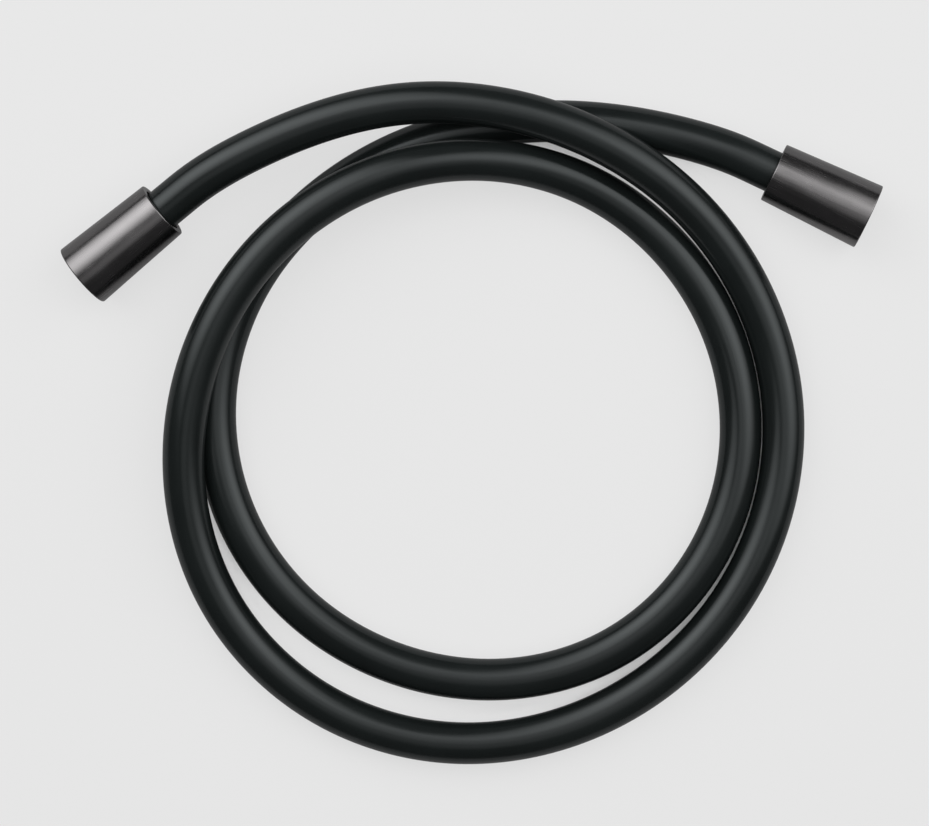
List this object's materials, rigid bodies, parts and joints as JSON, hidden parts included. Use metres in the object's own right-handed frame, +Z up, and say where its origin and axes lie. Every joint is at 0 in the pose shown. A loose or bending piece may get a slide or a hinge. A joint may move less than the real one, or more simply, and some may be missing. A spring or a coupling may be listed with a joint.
{
  "type": "shower hose",
  "caption": "Smooth flexible shower hose lying in two loose loops, with a plain tapered G1/2 union nut at each end.",
  "frame": {"origin": "middle of the outline seen from above, on the floor that the hose lies on", "axes": "+Z up; +X along the longest side of the outline, from the handset's nut towards the supply nut; +Y from the free round of the loops towards the crossing"},
  "size_m": [0.2976, 0.2468, 0.0311],
  "materials": {
    "black_hose": "satin",
    "gunmetal": "satin",
    "brass": "satin",
    "steel": "satin",
    "rubber": "matte"
  },
  "bodies": {
    "hose": {"hose": "black_hose", "swivel_core": "brass", "swivel_o_ring": "rubber", "retaining_clip": "steel", "handset_ferrule": "brass", "supply_insert": "brass", "supply_ferrule": "brass"},
    "swivel": {"swivel_seat": "brass"},
    "handset_nut": {"handset_nut": "gunmetal", "handset_washer": "rubber"},
    "supply_nut": {"supply_nut": "gunmetal", "supply_washer": "rubber"}
  },
  "joints": [
    {"name": "swivel_turn", "type": "hinge", "parent": "hose", "child": "swivel", "pos_m": [-0.14088, 0.0534, 0.01212], "axis": [-0.773, -0.6238, -0.1154], "continuous": true},
    {"name": "handset_nut_turn", "type": "hinge", "parent": "swivel", "child": "handset_nut", "pos_m": [-0.14088, 0.0534, 0.01212], "axis": [-0.773, -0.6238, -0.1154], "continuous": true},
    {"name": "supply_nut_turn", "type": "hinge", "parent": "hose", "child": "supply_nut", "pos_m": [0.14411, 0.07471, 0.01219], "axis": [0.9029, -0.4287, 0.0314], "continuous": true}
  ]
}
